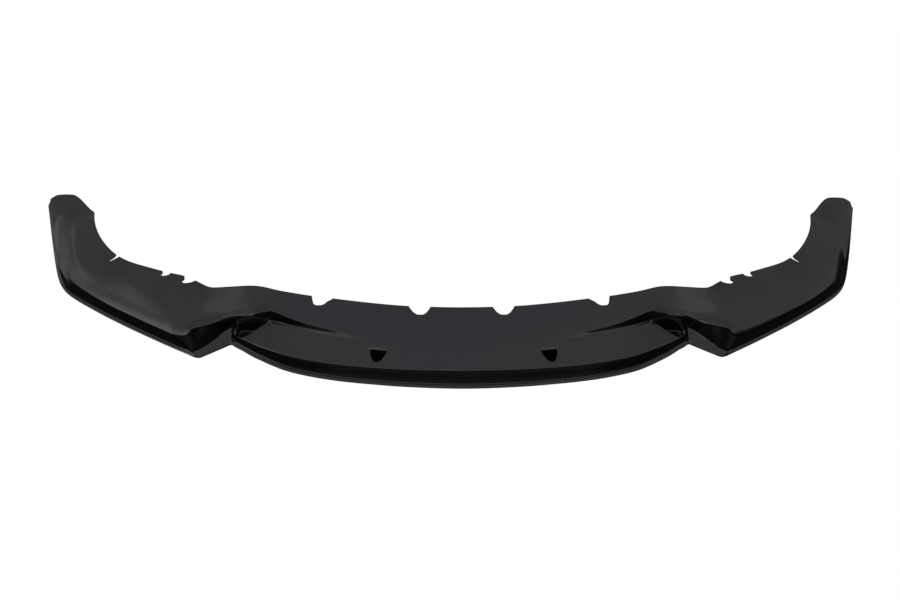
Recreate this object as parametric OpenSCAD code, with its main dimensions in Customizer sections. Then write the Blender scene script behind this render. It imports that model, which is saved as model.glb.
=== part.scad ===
// Front splitter lip: a one-piece moulded skin with a thin bottom ledge, a raised
// centre block with two screw pockets, a scoop on each side and two upswept tips.
// Millimetres, +Z up. The lip stands on Z = 0 and its front faces -Y.
// The origin is the centre of the bottom of its bounding box.

/* [Skin] */
// Thickness of the moulded skin
skin = 3; // [2.5:0.25:4]
// Extra height of the foot ledge over its drawn height
ledge_extra = 0; // [0:0.5:2]

/* [Screw pockets] */
// Distance between the two screw holes
pocket_pitch = 342; // [330:2:360]
// Width of a pocket's straight rear side
pocket_w = 34; // [30:1:38]
// Depth of a pocket from its straight rear side to its rounded front
pocket_d = 27; // [22:1:28]
// Height of the pocket floor over the ground
pocket_floor = 24; // [22:0.5:26]
// Radius of the screw hole
screw_r = 3.5; // [2.5:0.25:4]

/* [Rear edge notches] */
// Widening of every rear notch on each side
notch_grow = 0; // [0:0.5:2]

/* [Mesh] */
// Longest step between two sections along the lip
step = 20; // [19:1:26]

/* [Hidden] */
$fn = 48;

// One row per section of the right-hand half: [place, twelve rails].
// Place runs along the lip from the centre outwards. In the order of the rails:
// outline, foot of the lower riser, top of the lower riser, end of the panel,
// floor front, floor rear, rim, foot of the upper riser, top of the upper riser,
// shoulder, middle of the top sheet, rear edge. Y = 0 is the centre's front.
SECTIONS = [
  // centre block, where the panel runs into the top sheet without a step
  [0, [0,0,0], [0,11,4], [0,18,31], [0,72,46], [0,76,47], [0,80,47.6], [0,84,48], [0,88,48.5], [0,91,49], [0,100,50], [0,145,55], [0,191,58]],
  [100, [100,4.5,0], [100,15.5,4], [100,22,30], [100,76,47], [100,80,48], [100,84,48.5], [100,88,49], [100,92,49.5], [100,95,50], [100,104,51], [100,148,56], [100,192,60]],
  [200, [200,16,0], [200,27,4], [200,33,28], [200,88,47], [200,92,48], [200,96,49], [200,99,50], [200,102,51.3], [200,104.5,51.9], [200,114,54], [200,155,60], [200,198,66]],
  // a step grows between the panel and the top sheet
  [250, [250,24,0], [250,35,4], [250,41.5,27.5], [250,98,46], [250,102,47], [250,105,48], [250,108,50.5], [250,111,52], [250,113.5,53.8], [250,123,56], [250,162,63], [250,204,69]],
  [300, [300,36,0], [300,47.5,4], [300,52,28], [300,112,46], [300,116,47], [300,119,48], [300,122,50], [300,125.5,52], [300,127,57], [300,137,59.5], [300,172,65], [300,211,71]],
  [350, [350,53,0], [350,65,4], [350,69,27], [350,130,44.5], [350,133.5,45.5], [350,137,46.5], [350,140.5,47.7], [350,143.5,49], [350,145.5,63], [350,156,64.5], [350,187,68.5], [350,221,73]],
  [392, [392,77,0], [392,89,4], [392,92.5,25], [392,155,41], [392,157,41.5], [392,159,42], [392,162,43], [392,165,44], [392,167,66], [392,178,67], [392,203,70.5], [392,231,75.5]],
  // block end, with the dark hollow behind it and the strut that rims the hollow
  [405, [405,86,0], [405,98,4], [405,101,23.5], [405,160.5,38.5], [405,162,34], [405,164.5,35], [405,166.5,45.5], [405,168,47], [405,170,61], [405,181,63], [405,207,69], [405,236,76.5]],
  [420, [420,96,0], [420,108,4], [420,111,22.5], [420,152,32], [420,154.5,16], [420,167,16], [420,169.5,45], [420,171,47], [420,172.5,56.5], [420,185,58], [420,211,68], [420,239,77.5]],
  [435, [435,108,0], [435,120,4], [435,123,21], [435,144,25.5], [435,147,12], [435,170,12], [435,172,41.5], [435,174,44], [435,175.5,47.5], [435,188,54], [435,214,67], [435,240,78]],
  [450, [450,121,0], [450,132.5,4], [450,135,19.5], [450,141.5,19.3], [450,144.5,11], [450,172,11], [450,173,32.5], [450,176,38.5], [450,177.5,45], [450,190.5,51], [450,215,65.5], [450,239,78]],
  [461, [461,129,0], [461,141,4.5], [461,143.5,18], [461,148.5,16], [461,151,11], [461,165,11], [461,171.5,30.5], [461,177,35.5], [461,177.5,44], [461,191.5,50.3], [461,217.5,63.5], [461,238.6,77.2]],
  [465, [465,132.5,0], [465,144.5,4.5], [465,147,15.5], [465,150.5,15], [465,154,14.5], [465,160,16], [465,169,20.5], [465,177.5,31.5], [465,178,42], [465,192,49.5], [465,217,63.5], [465,238.6,77]],
  // notch in the outline and sloping foot of the strut
  [476, [474,139,0], [474.5,140.5,3], [475,145,5.2], [475.5,151,7.6], [476,158,10.3], [476,166,13.4], [476,173.5,16.5], [476.2,174.5,19.5], [478,176.5,40], [478,191.5,48.3], [478,215.5,63.2], [478,237.7,76.6]],
  [482, [480,134.5,0], [480.3,136,3], [481,141,5.2], [481.5,147,7.6], [482,154,10.3], [482,162,13.3], [482,170,16.4], [482.5,171,19.5], [486,173.5,39.5], [486,189.5,47.5], [486,213,63.2], [486,237.3,76.6]],
  [505, [505,116,0], [505.3,117.3,2.6], [505.6,121,4.2], [506,125.5,5.9], [506,130.5,7.7], [506,136,9.7], [506,142,11.8], [506.5,144,15], [511,153.5,43.8], [512,179,47], [512,207,63.5], [512,233,77.5]],
  [525, [522,104,0], [522.5,105.2,2.4], [523,108,3.6], [523.6,111,4.8], [524.2,114.3,6.1], [524.7,118,7.4], [525,122,8.8], [525.7,124.5,11.5], [531,142,46], [531,168,47.3], [530,202,63.5], [527,235,77.5]],
  // nose of the blade
  [534, [533,96.5,0], [533.5,97.6,2.2], [534.4,100,3.2], [535.3,102.5,4.2], [536.2,105.3,5.2], [537,108.5,6.5], [538,112,7.8], [538.7,113.5,10.8], [547,137,47], [549,161,47.5], [547,203,62.5], [538,249,76.3]],
  [545, [543,99.5,0], [545,104,4.5], [545.5,106,5], [546,107.5,5], [546,109,5], [546.5,110,5], [547,110,6], [549,113,9], [561,127.5,32.5], [568,153,45.5], [569,210,60.5], [556,266,72.5]],
  // blade: ledge, riser, shoulder and top sheet
  [560, [560,110,0], [560,116,4.5], [560,116.5,5], [560,117,5.5], [560,117.3,6], [560,117.6,6.5], [560,118,7.5], [560,118.4,9], [580,132.5,28.5], [585,159,43.5], [588,218,61], [577,283,71]],
  [600, [600,135,0], [600,142.5,4], [600,143,4.4], [600,143.2,5.2], [600,143.4,6], [600,143.5,7], [600,143.6,8], [600,143.8,9.5], [605,147,28.5], [608,174.5,43.2], [613,226,61.5], [612,293,72]],
  [650, [650,168,0], [650,175.5,4], [650,176,4.4], [650,176.2,5.2], [650,176.4,6], [650,176.5,7], [650,176.6,8], [650,176.8,9.5], [652,178.5,28], [653,206.5,43], [655,250,61.5], [657,309,74.5]],
  [700, [700,202,0], [700,209.5,4], [700,210,4.4], [700,210.2,5.2], [700,210.4,6], [700,210.5,7], [700,210.6,8], [700,210.8,9.5], [701,212.5,27.5], [699,240,43], [696,278,63], [694,322,77.5]],
  [750, [750,238.5,0], [750,246,4], [750,246.5,4.4], [750,246.7,5.2], [750,246.9,6], [750,247,7], [750,247.1,8], [750,247.3,9.5], [753,250,27.5], [747,278,44.5], [740.5,312,61], [732.5,351.5,77]],
  [800, [800,278,0], [800,285.5,4], [800,286,4.4], [800,286.2,5.2], [800,286.4,6], [800,286.5,7], [800,286.6,8], [800,286.8,9.5], [799.5,291,27], [790,316,48], [779.5,356,66], [769.5,397.5,84.5]],
  // upswept tip
  [840, [840,313,0], [840,320.5,4], [840,321,4.4], [840,321.2,5.2], [840,321.4,6], [840,321.5,7], [840,321.6,8], [840,321.8,9.5], [837.5,328,29], [826,352,55], [809,391,77], [784.5,424.5,96]],
  [880, [863,349,6], [862.3,350.2,8.5], [861.8,351.2,10.5], [861.3,352.2,12.3], [860.8,353.1,14], [860.3,354,15.6], [859.8,355,17.3], [859.5,355.6,18.4], [857.5,360.5,31], [846,391,65], [821.5,421.5,91], [792,450.5,105]],
  [935, [877,397,42], [876.5,398,44], [876.1,398.8,45.6], [875.7,399.6,47.2], [875.4,400.3,48.6], [875.1,401,50], [874.8,401.7,51.4], [874.6,402.2,52.3], [873.3,405.5,57.5], [858,436,86], [828,452,105], [792,460,112]],
  [1040, [898,490,110], [897.5,493,111], [897.2,494,111.5], [896.9,495,112], [896.6,496,112.5], [896.3,497,113], [896,498,113.6], [895.5,500,114.4], [895.5,506,117.5], [881,518,120.5], [844,520,118.5], [802,470,113.5]]
];
// How far the inner face of each rail stands back from the outer one, in skins.
// Rails 2, 3, 4 and 5 to 8, at a few places along the lip.
BACK = [
  [  0,  1,    0,    0,   1],
  [392,  1,    0,    0,   1],
  [405,  1,   -1,   -1,   1],
  [435,  1,   -1,   -1,   1],
  [450,  0.5, -0.5, -1,   1],
  [465,  0.2, -0.2, -0.2, 1],
  [476,  0.2,  0,    0,   0.6],
  [482,  0.3,  0.3,  0.4, 0.7],
  [505,  1,    1,    1,   1],
  [1040, 1,    1,    1,   1]
];
// Notches in the rear edge of the right-hand half, as [X, Y] outlines
NOTCHES = [
  [[60,206],[66,187],[73,173],[80,166.5],[93,166.5],[100,173],[108,187],[114,206]],
  [[258,214],[268,203],[277,197],[284,188.5],[290,185.5],[302,186],[306,192],[309,209],[312,224]],
  [[546,280],[550,266],[557,261.5],[565,259.5],[577,260],[583,264],[583,269],[578,272],[579,282],[588,300]],
  [[606,310],[609,291],[613,286],[620,283.5],[625,283.5],[629.5,286],[629.5,289],[625.5,292],[627,300],[633,310]],
  [[720.8,350.6],[722.8,344.1],[733.8,340.1],[743.8,337.1],[746.8,339.1],[744.8,341.6],[737.8,344.6],[732.8,348.1],[731.3,352.6],[729.8,360.6]]
];

last = len(SECTIONS) - 1;
// middle of the box in Y, so that the origin is the centre of its bottom
mid_y = 257.5;

function rail(i, k) = SECTIONS[i][k + 1];
function place(i) = SECTIONS[i][0];
function secant(i, k, c) = (rail(i + 1, k)[c] - rail(i, k)[c]) / (place(i + 1) - place(i));
// slope of a rail's coordinate at a section: a monotone cubic, mirrored at the centre
function slope(i, k, c) =
  i == 0 ? (c == 0 ? secant(0, k, 0) : 0) :
  i == last ? secant(last - 1, k, c) :
  let (a = secant(i - 1, k, c), b = secant(i, k, c),
       p = place(i) - place(i - 1), q = place(i + 1) - place(i))
    a * b <= 0 ? 0 : 3 * (p + q) / ((2 * q + p) / a + (q + 2 * p) / b);
function along(i, t, k) =
  let (h = place(i + 1) - place(i))
  [for (c = [0:2])
    rail(i, k)[c] * (2*t*t*t - 3*t*t + 1) + rail(i + 1, k)[c] * (3*t*t - 2*t*t*t)
    + h * (slope(i, k, c) * (t*t*t - 2*t*t + t) + slope(i + 1, k, c) * (t*t*t - t*t))];
function flat(v) = [v.x, v.y, 0];
function unit(v) = norm(v) < 0.001 ? [0, 1, 0] : v / norm(v);
function mix(a, b, t) = a + (b - a) * t;
// curve through four rails: a point between b and c
function bend(a, b, c, d, t) =
  let (m = (c - a) * 0.5 * norm(c - b) / max(norm(c - b), norm(b - a)),
       n = (d - b) * 0.5 * norm(c - b) / max(norm(c - b), norm(d - c)))
  b * (2*t*t*t - 3*t*t + 1) + c * (3*t*t - 2*t*t*t) + m * (t*t*t - 2*t*t + t) + n * (t*t*t - t*t);

// ---- outer face of one section, front to rear: twenty points
function outer(P) =
  let (h = P[1].z - P[0].z, lip = P[0] + [0, 0, min(1.4, 0.4 * h) + ledge_extra], foot = P[1] + [0, 0, ledge_extra])
  concat(
    [P[0] + [0, 0, 0.2],
     lip,
     mix(lip, foot, 0.3) + [0, 0, 0.3],
     mix(lip, foot, 0.9)],
    [mix(P[1], P[2], 0.08) + [0, 0, ledge_extra * 0.9],
     mix(P[1], P[2], 0.94),
     P[2] + unit(P[3] - P[2]) * min(2, norm(P[3] - P[2]) / 3)],
    [for (k = [3:7]) P[k] + [0, 0, ledge_extra * max(0, 1 - max(0, P[k].z - P[0].z - 4) / 5)]],
    [mix(P[7], P[8], 0.93),
     bend(P[7] + (P[8] - P[9]) * 0.3, P[8], P[9], P[10], 0.2),
     bend(P[7] + (P[8] - P[9]) * 0.3, P[8], P[9], P[10], 0.6),
     P[9],
     bend(P[8], P[9], P[10], P[11], 0.5),
     P[10],
     bend(P[9], P[10], P[11], P[11] + (P[11] - P[10]) * 0.8, 0.5),
     P[11]]);

// ---- inner face: the same twenty points, a skin further in
function room(z, z0) = z0 + max(0, z - z0 - skin - max(0, (16 - (z - z0)) * 0.6));
function back(s, j) =
  let (i = max([for (r = [0:len(BACK) - 2]) BACK[r][0] <= s ? r : 0]),
       t = (s - BACK[i][0]) / (BACK[i + 1][0] - BACK[i][0]))
  skin * mix(BACK[i][j], BACK[i + 1][j], t);
function inner(P, s, u7) =
  let (z0 = P[0].z, w = flat(P[1] - P[0]), u = unit(w))
  concat(
    [for (f = [0.1, 0.28, 0.46, 0.8]) [P[0].x, P[0].y, z0] + w * f],
    [let (q = P[1] + u * back(s, 1)) [q.x, q.y, z0],
     let (q = P[2] + u * back(s, 1)) [q.x, q.y, room(P[2].z - 2, z0)],
     let (q = P[2] + u * back(s, 1) + unit(P[3] - P[2]) * min(2, norm(P[3] - P[2]) / 5)) [q.x, q.y, room(P[2].z, z0)],
     let (q = P[3] + u * back(s, 2)) [q.x, q.y, room(P[3].z, z0)],
     let (q = P[4] + u * back(s, 3)) [q.x, q.y, room(P[4].z, z0)]],
    [for (k = [5:7]) let (q = P[k] + mix(u, u7, (k - 4) / 3) * back(s, 4)) [q.x, q.y, room(P[k].z, z0)]],
    [let (q = mix(P[7], P[8], 0.9) + u7 * skin) [q.x, q.y, max(room(P[7].z, z0) + 0.1, q.z - skin)],
     bend(P[7] + (P[8] - P[9]) * 0.3, P[8], P[9], P[10], 0.2) + u7 * skin * 0.8 - [0, 0, skin],
     bend(P[7] + (P[8] - P[9]) * 0.3, P[8], P[9], P[10], 0.6) + u7 * skin * 0.6 - [0, 0, skin],
     P[9] + u7 * skin * 0.45 - [0, 0, skin],
     bend(P[8], P[9], P[10], P[11], 0.5) + u7 * skin * 0.3 - [0, 0, skin],
     P[10] + u7 * skin * 0.2 - [0, 0, skin],
     bend(P[9], P[10], P[11], P[11] + (P[11] - P[10]) * 0.8, 0.5) + u7 * skin * 0.1 - [0, 0, skin],
     P[11] - [0, 0, skin]]);

// places along the right-hand half: [section, fraction]
places = concat(
  [for (i = [0:last - 1]) let (n = max(1, round((place(i + 1) - place(i)) / step)))
    for (j = [0:n - 1]) [i, j / n]],
  [[last - 1, 1]]);
half = [for (p = places)
  let (i = p[0], t = p[1], s = mix(place(i), place(i + 1), t),
       P = [for (k = [0:11]) along(i, t, k)],
       a = along(i, max(0, t - 0.1), 7), b = along(i, min(1, t + 0.1), 7),
       d = unit(flat(b - a)), u7 = [-d.y, d.x, 0])
  concat(outer(P), [for (q = inner(P, s, u7)) q])];
m = len(half);
function flip(v) = [-v.x, v.y, v.z];
rows = concat([for (i = [m - 1:-1:1]) [for (v = half[i]) flip(v)]], half);
N = len(rows);
L = 20;
// order round a section: the outer face front to rear, then the inner face back
function at(i, p) = i * 2 * L + (p < L ? p : L + (2 * L - 1 - p));

module skin_body() {
  pts = [for (r = rows) for (v = r) v - [0, mid_y, 0]];
  sides = [for (i = [0:N - 2]) for (p = [0:2 * L - 1])
    let (q = (p + 1) % (2 * L), a = at(i, p), b = at(i, q), c = at(i + 1, q), d = at(i + 1, p))
    each (i >= m - 1 ? [[a, b, c], [a, c, d]] : [[a, b, d], [b, c, d]])];
  ends = [for (j = [0:L - 2]) each [
    [j + 1, j, L + j], [j + 1, L + j, L + j + 1],
    [(N - 1) * 2 * L + j, (N - 1) * 2 * L + j + 1, (N - 1) * 2 * L + L + j],
    [(N - 1) * 2 * L + j + 1, (N - 1) * 2 * L + L + j + 1, (N - 1) * 2 * L + L + j]]];
  polyhedron(points = pts, faces = concat(sides, ends), convexity = 12);
}

// ---- a screw pocket: a half-round cup whose straight side is at the rear, turned with the front
pocket_y = 70 - mid_y;
module pocket_plan(grow, sx) {
  rotate(9 * sx) offset(r = 3 + grow) offset(delta = -3)
    polygon(concat([[-pocket_w / 2, 0], [pocket_w / 2, 0]],
      [for (a = [15:15:165]) [pocket_w / 2 * cos(a), -pocket_d * pow(sin(a), 1.4)]]));
}
module pocket_cup(z_floor, sx) {
  translate([0, 0, z_floor - skin]) linear_extrude(height = 48.5 - 1.2 - z_floor) pocket_plan(2.4, sx);
}
// the panel over the pocket, so that the cup ends at the panel
module under_panel() {
  hull() for (x = [-30, 30])
    translate([x, 0, 0]) rotate([90, 0, 90])
      linear_extrude(height = 0.1) polygon([[-40, 10], [12, 10], [12, 43.5], [-36, 26.5], [-40, 20]]);
}

module front_lip() {
  color([0.03, 0.03, 0.03]) difference() {
    resize([0, 0, 0]) difference() {
      union() {
        skin_body();
        for (sx = [-1, 1]) translate([sx * pocket_pitch / 2, pocket_y, 0])
          intersection() { pocket_cup(pocket_floor, sx); under_panel(); }
      }
      for (sx = [-1, 1]) {
        translate([sx * pocket_pitch / 2, pocket_y, pocket_floor])
          linear_extrude(height = 60) pocket_plan(0, sx);
        for (n = NOTCHES)
          translate([0, -mid_y, 0]) linear_extrude(height = 160)
            scale([sx, 1]) offset(r = notch_grow, $fn = 16) offset(r = 2.5, $fn = 16) offset(r = -2.5, $fn = 16) offset(r = -1.5, $fn = 16) offset(r = 1.5, $fn = 16) polygon(n);
      }
    }
    for (sx = [-1, 1])
      translate([sx * pocket_pitch / 2, pocket_y - 11, pocket_floor - skin - 2])
        cylinder(r = screw_r, h = skin + 4, $fn = 48);
  }
}

front_lip();
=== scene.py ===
# Looks of a front splitter lip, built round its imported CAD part.
# Millimetres in the tables, metres in the scene. The front faces -Y and the lip stands on Z = 0.
import math

import bmesh
import bpy
import numpy as np
from mathutils import Matrix, Vector


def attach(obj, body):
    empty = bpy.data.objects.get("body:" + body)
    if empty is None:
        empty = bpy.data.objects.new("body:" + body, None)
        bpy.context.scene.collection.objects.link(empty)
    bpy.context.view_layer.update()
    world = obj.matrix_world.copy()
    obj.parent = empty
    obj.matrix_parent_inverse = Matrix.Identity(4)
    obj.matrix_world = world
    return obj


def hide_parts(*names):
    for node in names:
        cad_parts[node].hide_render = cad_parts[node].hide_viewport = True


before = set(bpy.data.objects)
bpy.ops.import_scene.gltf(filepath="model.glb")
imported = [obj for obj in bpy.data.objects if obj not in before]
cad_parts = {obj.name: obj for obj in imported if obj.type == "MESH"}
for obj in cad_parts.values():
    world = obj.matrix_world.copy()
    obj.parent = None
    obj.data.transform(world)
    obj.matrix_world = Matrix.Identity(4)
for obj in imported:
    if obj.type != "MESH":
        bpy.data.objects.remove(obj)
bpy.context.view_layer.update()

SKIN = 3.0
MID_Y = 257.5
# the CAD part's sections: place along the lip, then twelve rails from the outline to the rear edge
SECTIONS = {
    0: [(0, 0, 0), (0, 11, 4), (0, 18, 31), (0, 72, 46), (0, 76, 47), (0, 80, 47.6), (0, 84, 48), (0, 88, 48.5), (0, 91, 49), (0, 100, 50), (0, 145, 55), (0, 191, 58)],
    100: [(100, 4.5, 0), (100, 15.5, 4), (100, 22, 30), (100, 76, 47), (100, 80, 48), (100, 84, 48.5), (100, 88, 49), (100, 92, 49.5), (100, 95, 50), (100, 104, 51), (100, 148, 56), (100, 192, 60)],
    200: [(200, 16, 0), (200, 27, 4), (200, 33, 28), (200, 88, 47), (200, 92, 48), (200, 96, 49), (200, 99, 50), (200, 102, 51.3), (200, 104.5, 51.9), (200, 114, 54), (200, 155, 60), (200, 198, 66)],
    250: [(250, 24, 0), (250, 35, 4), (250, 41.5, 27.5), (250, 98, 46), (250, 102, 47), (250, 105, 48), (250, 108, 50.5), (250, 111, 52), (250, 113.5, 53.8), (250, 123, 56), (250, 162, 63), (250, 204, 69)],
    300: [(300, 36, 0), (300, 47.5, 4), (300, 52, 28), (300, 112, 46), (300, 116, 47), (300, 119, 48), (300, 122, 50), (300, 125.5, 52), (300, 127, 57), (300, 137, 59.5), (300, 172, 65), (300, 211, 71)],
    350: [(350, 53, 0), (350, 65, 4), (350, 69, 27), (350, 130, 44.5), (350, 133.5, 45.5), (350, 137, 46.5), (350, 140.5, 47.7), (350, 143.5, 49), (350, 145.5, 63), (350, 156, 64.5), (350, 187, 68.5), (350, 221, 73)],
    392: [(392, 77, 0), (392, 89, 4), (392, 92.5, 25), (392, 155, 41), (392, 157, 41.5), (392, 159, 42), (392, 162, 43), (392, 165, 44), (392, 167, 66), (392, 178, 67), (392, 203, 70.5), (392, 231, 75.5)],
    405: [(405, 86, 0), (405, 98, 4), (405, 101, 23.5), (405, 160.5, 38.5), (405, 162, 34), (405, 164.5, 35), (405, 166.5, 45.5), (405, 168, 47), (405, 170, 61), (405, 181, 63), (405, 207, 69), (405, 236, 76.5)],
    420: [(420, 96, 0), (420, 108, 4), (420, 111, 22.5), (420, 152, 32), (420, 154.5, 16), (420, 167, 16), (420, 169.5, 45), (420, 171, 47), (420, 172.5, 56.5), (420, 185, 58), (420, 211, 68), (420, 239, 77.5)],
    435: [(435, 108, 0), (435, 120, 4), (435, 123, 21), (435, 144, 25.5), (435, 147, 12), (435, 170, 12), (435, 172, 41.5), (435, 174, 44), (435, 175.5, 47.5), (435, 188, 54), (435, 214, 67), (435, 240, 78)],
    450: [(450, 121, 0), (450, 132.5, 4), (450, 135, 19.5), (450, 141.5, 19.3), (450, 144.5, 11), (450, 172, 11), (450, 173, 32.5), (450, 176, 38.5), (450, 177.5, 45), (450, 190.5, 51), (450, 215, 65.5), (450, 239, 78)],
    461: [(461, 129, 0), (461, 141, 4.5), (461, 143.5, 18), (461, 148.5, 16), (461, 151, 11), (461, 165, 11), (461, 171.5, 30.5), (461, 177, 35.5), (461, 177.5, 44), (461, 191.5, 50.3), (461, 217.5, 63.5), (461, 238.6, 77.2)],
    465: [(465, 132.5, 0), (465, 144.5, 4.5), (465, 147, 15.5), (465, 150.5, 15), (465, 154, 14.5), (465, 160, 16), (465, 169, 20.5), (465, 177.5, 31.5), (465, 178, 42), (465, 192, 49.5), (465, 217, 63.5), (465, 238.6, 77)],
    476: [(474, 139, 0), (474.5, 140.5, 3), (475, 145, 5.2), (475.5, 151, 7.6), (476, 158, 10.3), (476, 166, 13.4), (476, 173.5, 16.5), (476.2, 174.5, 19.5), (478, 176.5, 40), (478, 191.5, 48.3), (478, 215.5, 63.2), (478, 237.7, 76.6)],
    482: [(480, 134.5, 0), (480.3, 136, 3), (481, 141, 5.2), (481.5, 147, 7.6), (482, 154, 10.3), (482, 162, 13.3), (482, 170, 16.4), (482.5, 171, 19.5), (486, 173.5, 39.5), (486, 189.5, 47.5), (486, 213, 63.2), (486, 237.3, 76.6)],
    505: [(505, 116, 0), (505.3, 117.3, 2.6), (505.6, 121, 4.2), (506, 125.5, 5.9), (506, 130.5, 7.7), (506, 136, 9.7), (506, 142, 11.8), (506.5, 144, 15), (511, 153.5, 43.8), (512, 179, 47), (512, 207, 63.5), (512, 233, 77.5)],
    525: [(522, 104, 0), (522.5, 105.2, 2.4), (523, 108, 3.6), (523.6, 111, 4.8), (524.2, 114.3, 6.1), (524.7, 118, 7.4), (525, 122, 8.8), (525.7, 124.5, 11.5), (531, 142, 46), (531, 168, 47.3), (530, 202, 63.5), (527, 235, 77.5)],
    534: [(533, 96.5, 0), (533.5, 97.6, 2.2), (534.4, 100, 3.2), (535.3, 102.5, 4.2), (536.2, 105.3, 5.2), (537, 108.5, 6.5), (538, 112, 7.8), (538.7, 113.5, 10.8), (547, 137, 47), (549, 161, 47.5), (547, 203, 62.5), (538, 249, 76.3)],
    545: [(543, 99.5, 0), (545, 104, 4.5), (545.5, 106, 5), (546, 107.5, 5), (546, 109, 5), (546.5, 110, 5), (547, 110, 6), (549, 113, 9), (561, 127.5, 32.5), (568, 153, 45.5), (569, 210, 60.5), (556, 266, 72.5)],
    560: [(560, 110, 0), (560, 116, 4.5), (560, 116.5, 5), (560, 117, 5.5), (560, 117.3, 6), (560, 117.6, 6.5), (560, 118, 7.5), (560, 118.4, 9), (580, 132.5, 28.5), (585, 159, 43.5), (588, 218, 61), (577, 283, 71)],
    600: [(600, 135, 0), (600, 142.5, 4), (600, 143, 4.4), (600, 143.2, 5.2), (600, 143.4, 6), (600, 143.5, 7), (600, 143.6, 8), (600, 143.8, 9.5), (605, 147, 28.5), (608, 174.5, 43.2), (613, 226, 61.5), (612, 293, 72)],
    650: [(650, 168, 0), (650, 175.5, 4), (650, 176, 4.4), (650, 176.2, 5.2), (650, 176.4, 6), (650, 176.5, 7), (650, 176.6, 8), (650, 176.8, 9.5), (652, 178.5, 28), (653, 206.5, 43), (655, 250, 61.5), (657, 309, 74.5)],
    700: [(700, 202, 0), (700, 209.5, 4), (700, 210, 4.4), (700, 210.2, 5.2), (700, 210.4, 6), (700, 210.5, 7), (700, 210.6, 8), (700, 210.8, 9.5), (701, 212.5, 27.5), (699, 240, 43), (696, 278, 63), (694, 322, 77.5)],
    750: [(750, 238.5, 0), (750, 246, 4), (750, 246.5, 4.4), (750, 246.7, 5.2), (750, 246.9, 6), (750, 247, 7), (750, 247.1, 8), (750, 247.3, 9.5), (753, 250, 27.5), (747, 278, 44.5), (740.5, 312, 61), (732.5, 351.5, 77)],
    800: [(800, 278, 0), (800, 285.5, 4), (800, 286, 4.4), (800, 286.2, 5.2), (800, 286.4, 6), (800, 286.5, 7), (800, 286.6, 8), (800, 286.8, 9.5), (799.5, 291, 27), (790, 316, 48), (779.5, 356, 66), (769.5, 397.5, 84.5)],
    840: [(840, 313, 0), (840, 320.5, 4), (840, 321, 4.4), (840, 321.2, 5.2), (840, 321.4, 6), (840, 321.5, 7), (840, 321.6, 8), (840, 321.8, 9.5), (837.5, 328, 29), (826, 352, 55), (809, 391, 77), (784.5, 424.5, 96)],
    880: [(863, 349, 6), (862.3, 350.2, 8.5), (861.8, 351.2, 10.5), (861.3, 352.2, 12.3), (860.8, 353.1, 14), (860.3, 354, 15.6), (859.8, 355, 17.3), (859.5, 355.6, 18.4), (857.5, 360.5, 31), (846, 391, 65), (821.5, 421.5, 91), (792, 450.5, 105)],
    935: [(877, 397, 42), (876.5, 398, 44), (876.1, 398.8, 45.6), (875.7, 399.6, 47.2), (875.4, 400.3, 48.6), (875.1, 401, 50), (874.8, 401.7, 51.4), (874.6, 402.2, 52.3), (873.3, 405.5, 57.5), (858, 436, 86), (828, 452, 105), (792, 460, 112)],
    1040: [(898, 490, 110), (897.5, 493, 111), (897.2, 494, 111.5), (896.9, 495, 112), (896.6, 496, 112.5), (896.3, 497, 113), (896, 498, 113.6), (895.5, 500, 114.4), (895.5, 506, 117.5), (881, 518, 120.5), (844, 520, 118.5), (802, 470, 113.5)],
}
BACK = [(0, 1, 0, 0, 1), (392, 1, 0, 0, 1), (405, 1, -1, -1, 1), (435, 1, -1, -1, 1), (450, 0.5, -0.5, -1, 1), (465, 0.2, -0.2, -0.2, 1), (476, 0.2, 0, 0, 0.6), (482, 0.3, 0.3, 0.4, 0.7), (505, 1, 1, 1, 1), (1040, 1, 1, 1, 1)]
NOTCHES = [
    [(60, 206), (66, 187), (73, 173), (80, 166.5), (93, 166.5), (100, 173), (108, 187), (114, 206)],
    [(258, 214), (268, 203), (277, 197), (284, 188.5), (290, 185.5), (302, 186), (306, 192), (309, 209), (312, 224)],
    [(546, 280), (550, 266), (557, 261.5), (565, 259.5), (577, 260), (583, 264), (583, 269), (578, 272), (579, 282), (588, 300)],
    [(606, 310), (609, 291), (613, 286), (620, 283.5), (625, 283.5), (629.5, 286), (629.5, 289), (625.5, 292), (627, 300), (633, 310)],
    [(720.8, 350.6), (722.8, 344.1), (733.8, 340.1), (743.8, 337.1), (746.8, 339.1), (744.8, 341.6), (737.8, 344.6), (732.8, 348.1), (731.3, 352.6), (729.8, 360.6)],
]
POCKET_X, POCKET_Y, POCKET_W, POCKET_D, POCKET_FLOOR, HOLE_R = 171.0, 70.0, 34.0, 27.0, 24.0, 3.5


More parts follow.
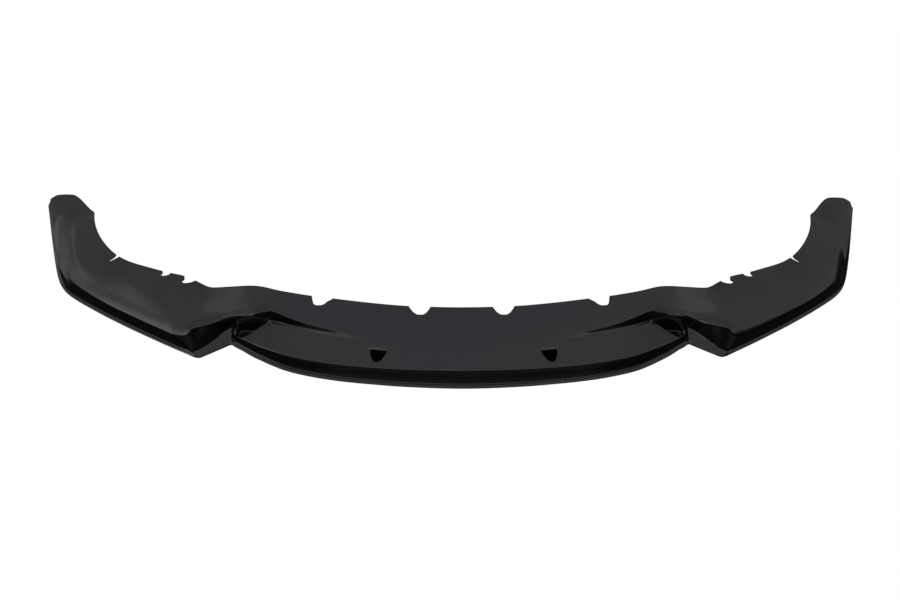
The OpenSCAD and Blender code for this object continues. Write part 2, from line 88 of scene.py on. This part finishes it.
def rails_along():
    """The twelve rails every millimetre from tip to tip, smoothed where the lip has no crisp detail."""
    s = np.array(sorted(SECTIONS), float)
    v = np.array([SECTIONS[int(k)] for k in s], float)
    n = len(s)
    h = np.diff(s)[:, None, None]
    d = np.diff(v, axis=0) / h
    m = np.zeros_like(v)
    for i in range(1, n - 1):
        a, b, p, q = d[i - 1], d[i], h[i - 1], h[i]
        same = a * b > 0
        with np.errstate(divide="ignore", invalid="ignore"):
            w = 3 * (p + q) / ((2 * q + p) / a + (q + 2 * p) / b)
        m[i] = np.where(same, w, 0)
    m[0, :, 0] = d[0, :, 0]
    m[-1] = d[-1]
    t = np.arange(0, 1041, 1.0)
    i = np.clip(np.searchsorted(s, t, side="right") - 1, 0, n - 2)
    u = ((t - s[i]) / (s[i + 1] - s[i]))[:, None, None]
    hh = h[i]
    out = v[i] * (2 * u**3 - 3 * u**2 + 1) + v[i + 1] * (3 * u**2 - 2 * u**3) + hh * (m[i] * (u**3 - 2 * u**2 + u) + m[i + 1] * (u**3 - u**2))
    left = out[:0:-1].copy()
    left[..., 0] *= -1
    full = np.concatenate([left, out])
    place = np.arange(-1040, 1041, 1.0)
    # a little beyond each tip, so that smoothing keeps the ends
    pad = 60
    lo = full[0] + (full[0] - full[1]) * np.arange(pad, 0, -1)[:, None, None]
    hi = full[-1] + (full[-1] - full[-2]) * np.arange(1, pad + 1)[:, None, None]
    ext = np.concatenate([lo, full, hi])
    eplace = np.arange(-1040 - pad, 1041 + pad, 1.0)
    blur = np.interp(np.abs(place), [0, 300, 350, 385, 400, 540, 575, 620, 800, 860, 935, 1040], [18, 16, 10, 3, 1.5, 2.5, 6, 16, 18, 18, 18, 18])
    smooth = np.empty_like(full)
    for k in range(12):
        wide = blur if k < 9 else np.maximum(blur, 10)
        w = np.exp(-0.5 * ((eplace[None] - place[:, None]) / wide[:, None]) ** 2)
        w /= w.sum(1, keepdims=True)
        smooth[:, k] = w @ ext[:, k]
    return place, smooth


def unit(v, fall=(0.0, 1.0, 0.0)):
    n = np.linalg.norm(v)
    return v / n if n > 1e-6 else np.array(fall)


def bezier(a, b, c, n):
    t = np.linspace(0, 1, n)[:, None]
    return a * (1 - t) ** 2 + b * 2 * t * (1 - t) + c * t**2


def soften(a, p, b, r, n):
    """A rounded corner at p between a and b: n points."""
    ra, rb = min(r, 0.42 * np.linalg.norm(p - a)), min(r, 0.42 * np.linalg.norm(b - p))
    return bezier(p + unit(a - p) * ra, p, p + unit(b - p) * rb, n)


def bend(a, b, c, d, t):
    l = np.linalg.norm(c - b)
    m = (c - a) * 0.5 * l / max(l, np.linalg.norm(b - a))
    n = (d - b) * 0.5 * l / max(l, np.linalg.norm(d - c))
    t = np.asarray(t)[:, None]
    return b * (2 * t**3 - 3 * t**2 + 1) + c * (3 * t**2 - 2 * t**3) + m * (t**3 - 2 * t**2 + t) + n * (t**3 - t**2)


def outer(P, s):
    h = P[1][2] - P[0][2]
    w = P[1] - P[0]
    w[2] = 0
    wl = np.linalg.norm(w)
    wu = unit(w)
    up = np.array([0, 0, 1.0])
    lip = P[0] + up * min(1.4, 0.4 * h)
    out = [P[0] + wu * 0.3, P[0] + up * 0.15]
    out += list(soften(P[0] + up * 0.15, lip, P[1], 0.9, 4))
    for f in (0.3, 0.6):
        out.append(lip + (P[1] - lip) * f + up * 0.35)
    out += list(soften(lip, P[1], P[2], 1.8, 4))
    out.append(P[1] + (P[2] - P[1]) * 0.5)
    out += list(soften(P[1], P[2], P[3], 3.0, 6))
    for f in (0.25, 0.5, 0.75):
        out.append(P[2] + (P[3] - P[2]) * f)
    for k in range(3, 8):
        out += list(soften(P[k - 1], P[k], P[k + 1], 0.8 if 468 < abs(s) < 552 else 2.5, 4))
    for f in (0.35, 0.65):
        out.append(P[7] + (P[8] - P[7]) * f)
    crown = bend(P[7] + (P[8] - P[9]) * 0.3, P[8], P[9], P[10], np.linspace(0, 1, 9))
    r8 = float(np.interp(abs(s), [0, 545, 600, 800, 880, 1040], [3, 3, 6, 8, 9, 6]))
    out += list(soften(P[7], P[8], crown[2], r8, 7))
    out += list(crown[3:])
    out += list(bend(P[8], P[9], P[10], P[11], np.linspace(0, 1, 8)[1:]))
    out += list(bend(P[9], P[10], P[11], P[11] + (P[11] - P[10]) * 0.8, np.linspace(0, 1, 8)[1:-1]))
    b = unit(P[11] - P[10])
    out += [P[11] - b * 1.0, P[11] - b * 0.3 - up * 0.25, P[11] - up * 0.9]
    return out


def inner(P, s, u7):
    z0 = P[0][2]
    w = P[1] - P[0]
    w[2] = 0
    u = unit(w)
    k = [np.interp(abs(s), [r[0] for r in BACK], [r[j] for r in BACK]) * SKIN for j in (1, 2, 3, 4)]
    up = np.array([0, 0, 1.0])

    def room(z):
        return z0 + max(0, z - z0 - SKIN - max(0, (16 - (z - z0)) * 0.6))

    def at(p, z):
        return np.array([p[0], p[1], z])

    out = [at(P[0] + w * f, z0) for f in (0.28, 0.46, 0.8)]
    step = unit(P[3] - P[2]) * min(2, np.linalg.norm(P[3] - P[2]) / 5)
    out += [at(P[1] + u * k[0], z0), at(P[2] + u * k[0], room(P[2][2] - 2)), at(P[2] + u * k[0] + step, room(P[2][2])), at(P[3] + u * k[1], room(P[3][2])), at(P[4] + u * k[2], room(P[4][2]))]
    for j in (5, 6, 7):
        f = (j - 4) / 3
        out.append(at(P[j] + (u * (1 - f) + u7 * f) * k[3], room(P[j][2])))
    q = P[7] + (P[8] - P[7]) * 0.9 + u7 * SKIN
    out.append(at(q, max(room(P[7][2]) + 0.1, q[2] - SKIN)))
    crown = bend(P[7] + (P[8] - P[9]) * 0.3, P[8], P[9], P[10], [0.2, 0.6])
    out += [crown[0] + u7 * SKIN * 0.8 - up * SKIN, crown[1] + u7 * SKIN * 0.6 - up * SKIN, P[9] + u7 * SKIN * 0.45 - up * SKIN]
    out.append(bend(P[8], P[9], P[10], P[11], [0.5])[0] + u7 * SKIN * 0.3 - up * SKIN)
    out.append(P[10] + u7 * SKIN * 0.2 - up * SKIN)
    out.append(bend(P[9], P[10], P[11], P[11] + (P[11] - P[10]) * 0.8, [0.5])[0] + u7 * SKIN * 0.1 - up * SKIN)
    out.append(P[11] - up * SKIN)
    return out


def stations():
    s, out = 0.0, []
    while s < 1040:
        out.append(s)
        s += float(np.interp(s, [0, 360, 390, 560, 590, 820, 850, 1040], [6, 6, 2, 2, 5, 5, 3.5, 3.5]))
    out = [v for v in out if v < 1038] + [1040.0]
    return [-v for v in out[:0:-1]] + out


place, RAILS = rails_along()


def rails_at(s):
    return np.array([[np.interp(s, place, RAILS[:, k, c]) for c in range(3)] for k in range(12)])


def surface_z(x, y):
    """Height of the centre panel at a point."""
    P = rails_at(x)
    f = (y - P[2][1]) / (P[3][1] - P[2][1])
    return P[2][2] + (P[3][2] - P[2][2]) * f


def mesh_object(name, verts, faces):
    me = bpy.data.meshes.new(name)
    me.from_pydata([tuple(v) for v in verts], [], faces)
    me.validate()
    ob = bpy.data.objects.new(name, me)
    bpy.context.collection.objects.link(ob)
    return ob


def shift(v):
    return (v[0] / 1000, (v[1] - MID_Y) / 1000, v[2] / 1000)


def skin():
    rows = []
    for s in stations():
        a, b = rails_at(s - 3), rails_at(s + 3)
        d = unit((b[7] - a[7]) * np.array([1, 1, 0]))
        u7 = np.array([-d[1], d[0], 0])
        sg = -1 if s < 0 else 1
        P = rails_at(s)
        if sg < 0:
            P[:, 0] *= -1
            u7[0] *= -1
        loop = outer(P, s) + inner(P, s, u7)[::-1]
        loop = np.array(loop)
        if sg < 0:
            loop[:, 0] *= -1
        rows.append(loop)
    n, m = len(rows), len(rows[0])
    verts = [shift(v) for r in rows for v in r]
    faces = []
    for i in range(n - 1):
        for p in range(m):
            q = (p + 1) % m
            faces.append((i * m + p, (i + 1) * m + p, (i + 1) * m + q, i * m + q))
    k = m - 21  # last point of the outer face's rear edge
    for base, turn in ((0, 1), ((n - 1) * m, -1)):
        a, b = 0, m - 1
        while a < k or b > k + 1:
            if (a + 1) / k <= (m - b) / (m - 1 - k) and a < k or b == k + 1:
                tri = (base + a, base + a + 1, base + b)
                a += 1
            else:
                tri = (base + a, base + b - 1, base + b)
                b -= 1
            faces.append(tri[::turn])
    return mesh_object("front_lip_looks", verts, faces)


def rounded(poly, r):
    """A closed outline with each corner rounded by r."""
    out = []
    n = len(poly)
    for i in range(n):
        a, p, b = (np.array([*poly[j % n], 0.0], float) for j in (i - 1, i, i + 1))
        out += [tuple(v[:2]) for v in soften(a, p, b, r, 5)]
    return out


def prism(rings):
    """A closed solid through rings of the same length, bottom to top."""
    m = len(rings[0])
    verts = [shift(v) for r in rings for v in r]
    faces = [tuple(range(m))[::-1], tuple(range((len(rings) - 1) * m, len(rings) * m))]
    for i in range(len(rings) - 1):
        for p in range(m):
            q = (p + 1) % m
            faces.append((i * m + p, i * m + q, (i + 1) * m + q, (i + 1) * m + p))
    return verts, faces


def turned(poly):
    """The outline with its points running anticlockwise."""
    a = sum(poly[i - 1][0] * poly[i][1] - poly[i][0] * poly[i - 1][1] for i in range(len(poly)))
    return poly if a > 0 else poly[::-1]


def pocket_plan(grow, cx):
    w, d = POCKET_W / 2, POCKET_D
    base = [(-w, 0), (w, 0)] + [(w * math.cos(math.radians(a)), -d * math.sin(math.radians(a)) ** 1.4) for a in range(15, 166, 15)]
    c = np.array([0, -d * 0.4])
    out = []
    for p in rounded(base, 3.0):
        v = np.array(p) - c
        v = c + v * (1 + grow / np.linalg.norm(v))
        t = math.radians(9) * (1 if cx > 0 else -1)
        out.append((cx + v[0] * math.cos(t) - v[1] * math.sin(t), POCKET_Y + v[0] * math.sin(t) + v[1] * math.cos(t)))
    return turned(out)


def combine(parts, name):
    verts, faces = [], []
    for v, f in parts:
        k = len(verts)
        verts += v
        faces += [tuple(i + k for i in g) for g in f]
    return mesh_object(name, verts, faces)


def boolean(ob, other, kind):
    mod = ob.modifiers.new(kind, "BOOLEAN")
    mod.operation, mod.object, mod.solver = kind, other, "MANIFOLD"
    bpy.context.view_layer.objects.active = ob
    with bpy.context.temp_override(object=ob, active_object=ob):
        bpy.ops.object.modifier_apply(modifier=mod.name)
    bpy.data.objects.remove(other)


lip = skin()
cups, cuts = [], []
for sx in (-1, 1):
    cx = sx * POCKET_X
    plan = pocket_plan(2.4, cx)
    cups.append(prism([[(x, y, POCKET_FLOOR - SKIN) for x, y in plan], [(x, y, surface_z(x, y) - 1.0) for x, y in plan]]))
    fit, flare = pocket_plan(0, cx), pocket_plan(0.0, cx)
    # the rim is dished wider towards the outer rear corner
    wide = [(x + sx * 1.5, y + 1.5) for x, y in pocket_plan(1.7, cx)]
    cuts.append(prism([
        [(x, y, POCKET_FLOOR) for x, y in fit],
        [(x, y, surface_z(x, y) - 1.2) for x, y in flare],
        [(x, y, surface_z(x, y) + 0.4) for x, y in wide],
        [(x, y, surface_z(x, y) + 6) for x, y in wide],
    ]))
    ring = [(cx + HOLE_R * math.cos(t), POCKET_Y - 11 + HOLE_R * math.sin(t)) for t in np.linspace(0, 2 * math.pi, 33)[:-1]]
    cuts.append(prism([[(x, y, POCKET_FLOOR - SKIN - 3) for x, y in ring], [(x, y, POCKET_FLOOR + 1) for x, y in ring]]))
    for poly in NOTCHES:
        pts = turned([(sx * x, y) for x, y in rounded(poly, 3.0)])
        cuts.append(prism([[(x, y, -10) for x, y in pts], [(x, y, 170) for x, y in pts]]))
boolean(lip, combine(cups, "cups"), "UNION")
boolean(lip, combine(cuts, "cuts"), "DIFFERENCE")

me = lip.data
bm = bmesh.new()
bm.from_mesh(me)
bmesh.ops.remove_doubles(bm, verts=bm.verts, dist=1e-6)
bmesh.ops.recalc_face_normals(bm, faces=bm.faces)
for f in bm.faces:
    f.smooth = True
for e in bm.edges:
    if len(e.link_faces) == 2 and e.calc_face_angle(0) > math.radians(38):
        e.smooth = False
bm.to_mesh(me)
bm.free()


def black_plastic():
    mat = bpy.data.materials.new("gloss_black")
    mat.use_nodes = True
    nt = mat.node_tree
    b = nt.nodes["Principled BSDF"]
    b.inputs["Base Color"].default_value = (0.0035, 0.0035, 0.0038, 1)
    b.inputs["Roughness"].default_value = 0.16
    b.inputs["IOR"].default_value = 1.5
    tc = nt.nodes.new("ShaderNodeTexCoord")
    no = nt.nodes.new("ShaderNodeTexNoise")
    no.inputs["Scale"].default_value = 55
    no.inputs["Detail"].default_value = 2
    bp = nt.nodes.new("ShaderNodeBump")
    bp.inputs["Strength"].default_value = 0.04
    bp.inputs["Distance"].default_value = 0.002
    nt.links.new(tc.outputs["Object"], no.inputs["Vector"])
    nt.links.new(no.outputs["Fac"], bp.inputs["Height"])
    nt.links.new(bp.outputs["Normal"], b.inputs["Normal"])
    return mat


me.materials.clear()
me.materials.append(black_plastic())
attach(lip, "root")
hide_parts("front_lip")

# ---- pale floor: seen by the camera, but not in the gloss
fm = bpy.data.materials.new("floor")
fm.use_nodes = True
nt = fm.node_tree
nt.nodes.clear()
em = nt.nodes.new("ShaderNodeEmission")
em.inputs["Color"].default_value = (1, 1, 1, 1)
em.inputs["Strength"].default_value = 1.0
nt.links.new(em.outputs["Emission"], nt.nodes.new("ShaderNodeOutputMaterial").inputs["Surface"])
floor = mesh_object("floor", [(-30, -30, -0.001), (30, -30, -0.001), (30, 30, -0.001), (-30, 30, -0.001)], [(0, 1, 2, 3)])
floor.data.materials.append(fm)
floor.visible_glossy = False
floor.visible_diffuse = False
floor.visible_shadow = False


def lamp(name, at, to, w, h, power, colour=(1, 1, 1)):
    d = bpy.data.lights.new(name, "AREA")
    d.shape, d.size, d.size_y, d.energy, d.color = "RECTANGLE", w, h, power, colour
    o = bpy.data.objects.new(name, d)
    bpy.context.collection.objects.link(o)
    o.location = at
    o.rotation_euler = (Vector(to) - Vector(at)).to_track_quat("-Z", "Y").to_euler()
    o.visible_camera = False
    return o


# soft studio light, as a plain tent: a pale ceiling and side walls, open and dark at the front and below
world = bpy.data.worlds.new("world")
bpy.context.scene.world = world
world.use_nodes = True
wt = world.node_tree
wt.nodes.clear()


def val(x):
    return x.outputs[0] if hasattr(x, "outputs") else x


def math_node(op, *args):
    n = wt.nodes.new("ShaderNodeMath")
    n.operation = op
    for k, a in enumerate(args):
        a = val(a)
        if isinstance(a, (int, float)):
            n.inputs[k].default_value = a
        else:
            wt.links.new(a, n.inputs[k])
    return n


def step_node(x, lo, hi):
    n = wt.nodes.new("ShaderNodeMapRange")
    n.interpolation_type = "SMOOTHSTEP"
    n.inputs["From Min"].default_value, n.inputs["From Max"].default_value = lo, hi
    wt.links.new(val(x), n.inputs["Value"])
    return n


def mul(*a):
    out = a[0]
    for b in a[1:]:
        out = math_node("MULTIPLY", out, b)
    return out


def add(*a):
    out = a[0]
    for b in a[1:]:
        out = math_node("ADD", out, b)
    return out


wc = wt.nodes.new("ShaderNodeTexCoord")
sep = wt.nodes.new("ShaderNodeSeparateXYZ")
wt.links.new(wc.outputs["Generated"], sep.inputs[0])
X, Y, Z = sep.outputs
near, left = math_node("MULTIPLY", Y, -1.0), math_node("MULTIPLY", X, -1.0)
edge = add(near, mul(-0.5, math_node("MAXIMUM", Z, mul(left, 0.9))), mul(0.3, math_node("MAXIMUM", X, 0.0), step_node(near, -0.05, 0.08)))
open_front = math_node("SUBTRACT", 1.0, step_node(edge, -0.04, 0.04))
low_left = mul(step_node(Z, -0.3, -0.15), step_node(left, 0.6, 0.75), step_node(Y, 0.05, 0.25))
low = math_node("MAXIMUM", step_node(Z, 0.12, 0.32), low_left)
ceiling = add(
    0.72,
    mul(-0.42, step_node(Y, 0.0, 0.5), math_node("SUBTRACT", 1.0, step_node(Z, 0.4, 1.05))),
    mul(0.45, step_node(near, -0.12, 0.2), step_node(Z, 0.75, 0.95)),
    mul(0.36, step_node(left, 0.7, 0.9)),
    mul(1.0, step_node(math_node("SUBTRACT", near, left), -0.87, -0.77), step_node(left, 0.51, 0.64), math_node("SUBTRACT", 1.0, step_node(Z, 0.7, 0.82))),
)
bg = wt.nodes.new("ShaderNodeBackground")
tint = wt.nodes.new("ShaderNodeMix")
tint.data_type = "RGBA"
tint.inputs[6].default_value, tint.inputs[7].default_value = (1, 1, 1, 1), (0.95, 0.985, 1.1, 1)
middle = math_node("SUBTRACT", 1.0, step_node(math_node("ABSOLUTE", X), 0.04, 0.2))
wt.links.new(val(mul(middle, step_node(Y, 0.0, 0.3))), tint.inputs[0])
wt.links.new(tint.outputs[2], bg.inputs["Color"])
glow = mul(0.14, step_node(near, 0.5, 0.8), step_node(Z, -0.35, 0.0), math_node("SUBTRACT", 1.0, step_node(Z, 0.3, 0.5)))
wt.links.new(val(add(mul(ceiling, open_front, low), glow, 0.03)), bg.inputs["Strength"])
wt.links.new(bg.outputs[0], wt.nodes.new("ShaderNodeOutputWorld").inputs["Surface"])

# ---- camera at the photograph's angle
YAW, ROLL, ELEV, DIST, TX, TY = math.radians(-3.357), math.radians(2.033), math.radians(37.0), 2.4196, 0.0368, -0.2327
ca, sa, ce, se = math.cos(YAW), math.sin(YAW), math.cos(ELEV), math.sin(ELEV)
right, ahead, up = Vector((ca, sa, 0)), Vector((-sa * ce, ca * ce, -se)), Vector((-sa * se, ca * se, ce))
xc = right * math.cos(ROLL) + up * math.sin(ROLL)
yc = -right * math.sin(ROLL) + up * math.cos(ROLL)
at = -ahead * DIST - Vector((TX, 0.016, TY)) - Vector((0, MID_Y / 1000, 0))
cam = bpy.data.objects.new("camera", bpy.data.cameras.new("camera"))
bpy.context.collection.objects.link(cam)
cam.data.lens, cam.data.sensor_width = 52.0, 36.0
cam.data.clip_start, cam.data.clip_end = 0.05, 100
cam.matrix_world = Matrix(((xc.x, yc.x, -ahead.x, at.x), (xc.y, yc.y, -ahead.y, at.y), (xc.z, yc.z, -ahead.z, at.z), (0, 0, 0, 1)))
bpy.context.scene.camera = cam
bpy.context.scene.view_settings.view_transform = "Standard"
